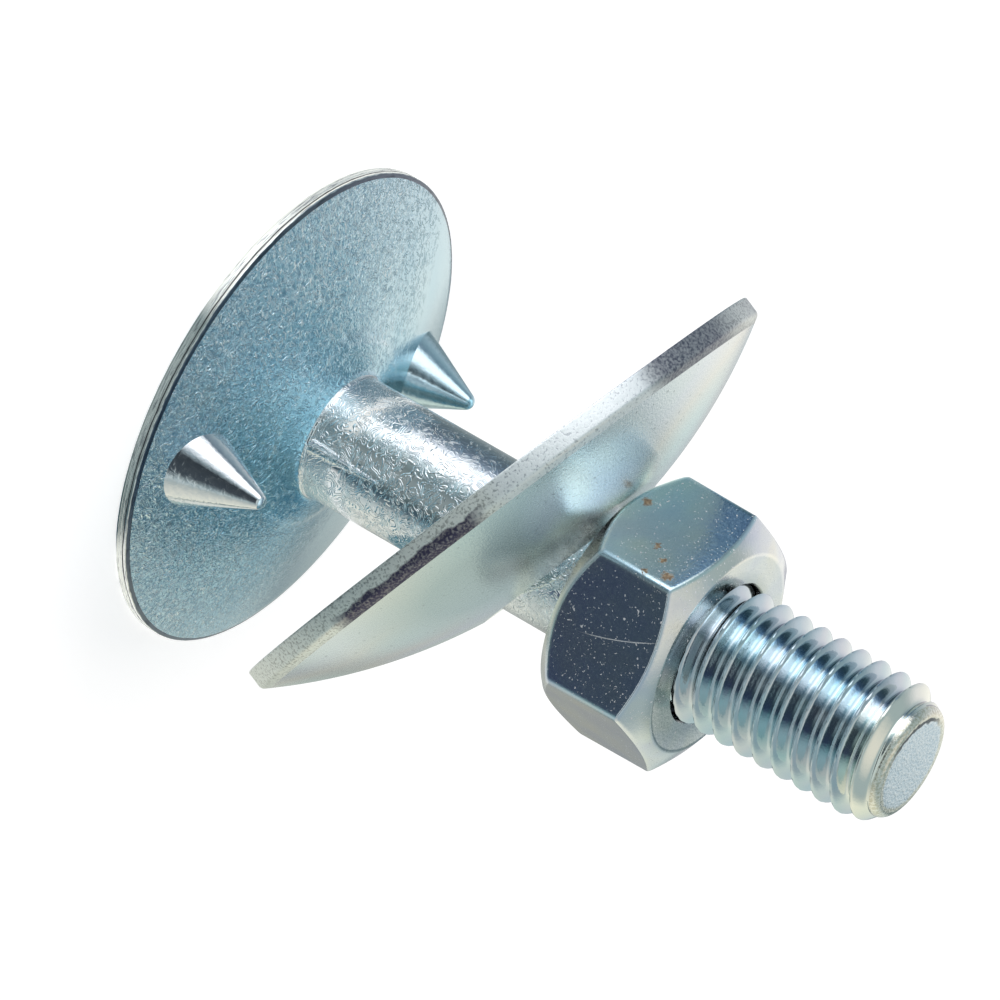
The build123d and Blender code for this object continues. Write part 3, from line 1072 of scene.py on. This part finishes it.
# The washer, the chamfers and the far side of the head mirror the wall.
wall_cards = [
    (-180, (0.70, 0.76, 0.75)), (-170, (1.00, 1.00, 0.95)), (-150, (0.74, 0.76, 0.80)),
    (-126, (0.47, 0.54, 0.59)), (-100, (0.27, 0.36, 0.41)), (-80, (0.14, 0.20, 0.26)),
    (-66, white_card), (-38, white_card), (-18, (0.30, 0.38, 0.42)),
    (-4, (0.035, 0.045, 0.055)), (40, (0.05, 0.065, 0.08)), (60, (0.30, 0.38, 0.40)),
    (90, (0.62, 0.65, 0.60)), (123, (0.82, 0.84, 0.73)), (145, (0.70, 0.76, 0.68)),
    (160, (0.60, 0.67, 0.66)), (167, (0.54, 0.63, 0.64)), (172, (0.17, 0.23, 0.25)),
    (175, (0.17, 0.23, 0.25)), (180, (0.70, 0.76, 0.75)),
]
rim_card = (0.88, 0.90, 0.89, 1)
ring_card = (0.165, 0.27, 0.34, 1)
front_card = (0.52, 0.61, 0.63, 1)
roof_card = (0.34, 0.43, 0.46)
top_light = (0.70, 0.71, 0.67)
rim_card_ends = 16.6 * mm
ring_card_ends = 21.0 * mm
card_blend = 1.5 * mm
wide_blend = 12 * mm
# Shares of a full turn, from the side away from the camera
ring_turns = (0.17, 0.35)
rim_gap_turns = (0.48, 0.63)
front_turns = (0.48, 0.67)
turn_blend = 0.02
shank_cards_end = 46 * mm
nut_cards_end = 63 * mm
mat_ends = 150 * mm
wall_starts = 200 * mm
# Shares of the tent's height: a dark slot in the front of the wall, which the fangs mirror
slot_middle = 0.40
slot_half, slot_edge = 0.08, 0.06
front_starts, front_full = 0.01, 0.03
roof_starts = 0.55
roof_ends = 0.80
top_starts = 0.90
print("tones", sum(map(len, (shank_cards, nut_cards, thread_cards, wall_cards))))

# %% Paper of the cards
paper = bpy.data.materials.new("card_paper")
paper.use_nodes = True
tree = paper.node_tree
tree.nodes.clear()
place = add(tree, "ShaderNodeTexCoord", {}).outputs["Object"]
axes = add(tree, "ShaderNodeSeparateXYZ", {"Vector": place}).outputs
turn = rising(tree, math(tree, "ARCTAN2", axes["Y"], axes["X"]), -pi, pi)
shank_tone, nut_tone, thread_tone, wall_tone = (
    ramp(tree, turn, [((direction + 180) / 360, tone) for direction, tone in cards])
    for cards in (shank_cards, nut_cards, thread_cards, wall_cards))
reach = from_axis(tree)
tone = shank_tone
for start, end, next_tone in (
    (shank_cards_end, shank_cards_end + card_blend, nut_tone),
    (nut_cards_end, nut_cards_end + wide_blend, thread_tone),
    (mat_ends, wall_starts, wall_tone),
):
    tone = mix(tree, rising(tree, reach, start, end), tone, next_tone)
in_ring = both(tree, falling(tree, reach, ring_card_ends, ring_card_ends + card_blend),
               stretch(tree, turn, *ring_turns, turn_blend))
tone = mix(tree, in_ring, tone, ring_card)
beside_gap = math(tree, "SUBTRACT", 1.0, stretch(tree, turn, *rim_gap_turns, turn_blend))
by_rim = both(tree, falling(tree, reach, rim_card_ends, rim_card_ends + card_blend), beside_gap)
tone = mix(tree, by_rim, tone, rim_card)
steepness = math(tree, "DIVIDE", axes["Z"], tent_radius)
from_slot = math(tree, "ABSOLUTE", math(tree, "SUBTRACT", steepness, slot_middle))
beside_slot = both(tree, rising(tree, from_slot, slot_half, slot_half + slot_edge),
                   rising(tree, steepness, front_starts, front_full))
in_front = both(tree, beside_slot, stretch(tree, turn, *front_turns, turn_blend))
tone = mix(tree, in_front, tone, front_card)
roof = ramp(tree, steepness, [(top_starts, roof_card), (1.0, top_light)])
tone = mix(tree, rising(tree, steepness, roof_starts, roof_ends), tone, roof)
glow = add(tree, "ShaderNodeEmission", {"Color": tone}).outputs["Emission"]
add(tree, "ShaderNodeOutputMaterial", {"Surface": glow})
tent.data.materials.append(paper)
print("card paper of", node_count(paper), "nodes")

# %% [markdown]
# ## Floor, backdrop and lamp
# The photograph has a white ground. More light would only bleach the metal, so the floor and the world glow
# white to the viewer and to mirrors, and stay at a plain level for all other light. The floor's own colour
# is still lit by one soft lamp, which leaves a faint shadow round the head.

# %% Floor
floor_half = 1500 * mm
floor_tone = (0.9, 0.9, 0.9, 1)
background_share = 0.60


def white_to_viewer(tree):
    """1 for what the camera, a mirror or glass sees, and 0 for the rest of the light."""
    path = add(tree, "ShaderNodeLightPath", {}).outputs
    seen = path["Is Camera Ray"]
    for other in ("Is Glossy Ray", "Is Transmission Ray"):
        seen = add(tree, "ShaderNodeMath", {0: seen, 1: path[other]}, operation="MAXIMUM").outputs[0]
    return seen


floor_mesh = bpy.data.meshes.new("floor")
corners = [(-floor_half, -floor_half, 0), (floor_half, -floor_half, 0),
           (floor_half, floor_half, 0), (-floor_half, floor_half, 0)]
floor_mesh.from_pydata(corners, [], [(0, 1, 2, 3)])
floor = bpy.data.objects.new("floor", floor_mesh)
scene.collection.objects.link(floor)
sheet = bpy.data.materials.new("floor_sheet")
sheet.use_nodes = True
tree = sheet.node_tree
tree.nodes.clear()
lit = add(tree, "ShaderNodeBsdfDiffuse", {"Color": floor_tone}).outputs["BSDF"]
strength = add(tree, "ShaderNodeMath", {0: white_to_viewer(tree), 1: background_share},
               operation="MULTIPLY").outputs[0]
glow = add(tree, "ShaderNodeEmission", {"Strength": strength}).outputs["Emission"]
surface = add(tree, "ShaderNodeAddShader", {0: lit, 1: glow}).outputs["Shader"]
add(tree, "ShaderNodeOutputMaterial", {"Surface": surface})
floor.data.materials.append(sheet)
print("floor", round(2 * floor_half / mm), "mm wide")

# %% World and lamp
world = bpy.data.worlds.new("studio")
world.use_nodes = True
scene.world = world
tree = world.node_tree
plain_level = 0.35
strength = between(tree, white_to_viewer(tree), 0.0, 1.0, plain_level, 1.0)
tree.links.new(strength, tree.nodes["Background"].inputs["Strength"])
tree.nodes["Background"].inputs["Color"].default_value = (1, 1, 1, 1)

lamp_height = 300 * mm
lamp_size = 250 * mm
lamp_power = 0.3
lamp_side = radians(70)
lamp_rise = radians(60)


def soft_lamp(name, azimuth, elevation, power):
    """A square soft box that looks at the bolt."""
    data = bpy.data.lights.new(name, "AREA")
    data.size = lamp_size
    data.energy = power
    lamp = bpy.data.objects.new(name, data)
    scene.collection.objects.link(lamp)
    direction = Vector((cos(azimuth) * cos(elevation), sin(azimuth) * cos(elevation), sin(elevation)))
    lamp.location = direction * lamp_height
    lamp.rotation_euler = direction.to_track_quat("Z", "Y").to_euler()
    lamp.visible_glossy = False


soft_lamp("key_lamp", camera_azimuth - lamp_side, lamp_rise, lamp_power)
scene.view_settings.view_transform = "Standard"
